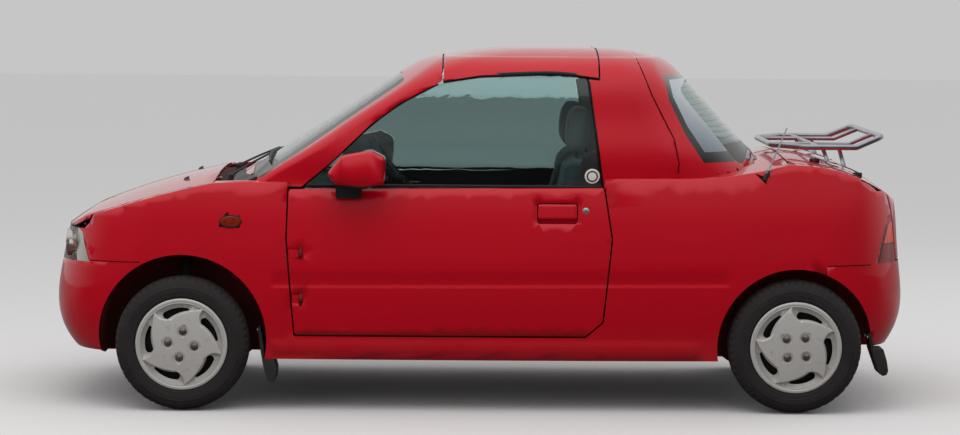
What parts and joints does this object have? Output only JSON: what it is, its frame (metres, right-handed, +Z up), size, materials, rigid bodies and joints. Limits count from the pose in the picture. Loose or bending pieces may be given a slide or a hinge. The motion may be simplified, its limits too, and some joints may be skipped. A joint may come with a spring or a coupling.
{
  "type": "kei car",
  "caption": "Small two-door kei coupe with lift-off roof panels, boot rack, opening doors, hood and boot lid, rolling and steering wheels.",
  "frame": {"origin": "bottom centre of the bounding box, on the ground", "axes": "+Z up; -X towards the front of the car; -Y towards the car's left side"},
  "size_m": [3.2925, 1.596, 1.3639],
  "materials": {
    "body_paint": "gloss crimson paint over pressed steel",
    "black_plastic": "satin black moulded plastic",
    "rubber_black": "flexible black rubber sheet",
    "tinted_glass": "clear, faint green tint",
    "lamp_clear": "clear lens over a pale reflector",
    "lamp_red": "dark red and amber lens",
    "lamp_amber": "amber lens",
    "underbody_paint": "thin red paint, dusty",
    "cast_alloy": "dull casting",
    "chassis_black": "semi-matt chassis black, dusty",
    "seat_fabric": "grey woven upholstery",
    "dark_trim": "grained dark trim",
    "rack_steel": "bright plated tube",
    "tyre_rubber": "charcoal side walls",
    "wheel_silver": "silver painted cover"
  },
  "bodies": {
    "body": {"front_bumper": "body_paint", "front_fenders": "body_paint", "rear_bumper": "body_paint", "quarter_left": "body_paint", "quarter_right": "body_paint", "windshield_frame": "body_paint", "roof_hoop": "body_paint", "rear_canopy": "body_paint", "cowl": "black_plastic", "antenna": "black_plastic", "front_grille": "black_plastic", "mudflaps": "rubber_black", "weatherstrips": "rubber_black", "side_markers": "lamp_amber", "door_apertures": "underbody_paint", "wheel_housings": "underbody_paint", "windshield": "tinted_glass", "rear_window": "tinted_glass", "headlights": "lamp_clear", "tail_lights": "lamp_red", "underbody": "underbody_paint", "engine": "cast_alloy", "fuel_tank": "chassis_black", "exhaust": "chassis_black", "rear_axle": "chassis_black", "front_suspension": "chassis_black", "front_seats": "seat_fabric", "rear_seat": "seat_fabric", "dashboard": "dark_trim"},
    "hood": {"hood": "body_paint"},
    "boot_lid": {"trunk_lid": "body_paint", "luggage_rack": "rack_steel"},
    "door_left": {"door_left": "body_paint", "door_glass_left": "tinted_glass", "mirror_left": "body_paint"},
    "door_right": {"door_right": "body_paint", "door_glass_right": "tinted_glass", "mirror_right": "body_paint"},
    "roof_panel_left": {"roof_panel_left": "body_paint"},
    "roof_panel_right": {"roof_panel_right": "body_paint"},
    "steering_wheel": {"steering_wheel": "dark_trim"},
    "knuckle_left": {"knuckle_left": "chassis_black"},
    "knuckle_right": {"knuckle_right": "chassis_black"},
    "wheel_front_left": {"tyre_fl": "tyre_rubber", "wheel_fl": "wheel_silver"},
    "wheel_front_right": {"tyre_fr": "tyre_rubber", "wheel_fr": "wheel_silver"},
    "wheel_rear_left": {"tyre_rl": "tyre_rubber", "wheel_rl": "wheel_silver"},
    "wheel_rear_right": {"tyre_rr": "tyre_rubber", "wheel_rr": "wheel_silver"}
  },
  "joints": [
    {"name": "door_left_hinge", "type": "hinge", "parent": "body", "child": "door_left", "pos_m": [-0.675, -0.6825, 0.515], "axis": [0, 0, -1], "range_deg": [0, 62]},
    {"name": "door_right_hinge", "type": "hinge", "parent": "body", "child": "door_right", "pos_m": [-0.675, 0.6825, 0.515], "axis": [0, 0, 1], "range_deg": [0, 62]},
    {"name": "hood_hinge", "type": "hinge", "parent": "body", "child": "hood", "pos_m": [-0.996, 0, 0.862], "axis": [0, 1, 0], "range_deg": [0, 55]},
    {"name": "boot_lid_hinge", "type": "hinge", "parent": "body", "child": "boot_lid", "pos_m": [1.166, 0, 0.957], "axis": [0, -1, 0], "range_deg": [0, 30]},
    {"name": "roof_panel_left_lift", "type": "slide", "parent": "body", "child": "roof_panel_left", "axis": [0, 0, 1], "range_m": [0, 0.25]},
    {"name": "roof_panel_right_lift", "type": "slide", "parent": "body", "child": "roof_panel_right", "axis": [0, 0, 1], "range_m": [0, 0.25]},
    {"name": "steer_left", "type": "hinge", "parent": "body", "child": "knuckle_left", "pos_m": [-1.1225, -0.56, 0.15], "axis": [0, 0.2279, 0.9737], "range_deg": [-33, 33]},
    {"name": "steer_right", "type": "hinge", "parent": "body", "child": "knuckle_right", "pos_m": [-1.1225, 0.56, 0.15], "axis": [0, -0.2279, 0.9737], "range_deg": [-33, 33]},
    {"name": "steering_wheel_turn", "type": "hinge", "parent": "body", "child": "steering_wheel", "pos_m": [-0.342, 0.3, 0.838], "axis": [0.8383, 0, 0.5452], "range_deg": [-495, 495]},
    {"name": "wheel_front_left_spin", "type": "hinge", "parent": "knuckle_left", "child": "wheel_front_left", "pos_m": [-1.1225, -0.605, 0.254], "axis": [0, 1, 0], "continuous": true},
    {"name": "wheel_front_right_spin", "type": "hinge", "parent": "knuckle_right", "child": "wheel_front_right", "pos_m": [-1.1225, 0.605, 0.254], "axis": [0, 1, 0], "continuous": true},
    {"name": "wheel_rear_left_spin", "type": "hinge", "parent": "body", "child": "wheel_rear_left", "pos_m": [1.1875, -0.605, 0.254], "axis": [0, 1, 0], "continuous": true},
    {"name": "wheel_rear_right_spin", "type": "hinge", "parent": "body", "child": "wheel_rear_right", "pos_m": [1.1875, 0.605, 0.254], "axis": [0, 1, 0], "continuous": true}
  ],
  "couplings": [
    {"joint": "steer_right", "follows": "steer_left", "ratio": 1},
    {"joint": "steering_wheel_turn", "follows": "steer_left", "ratio": 15}
  ]
}
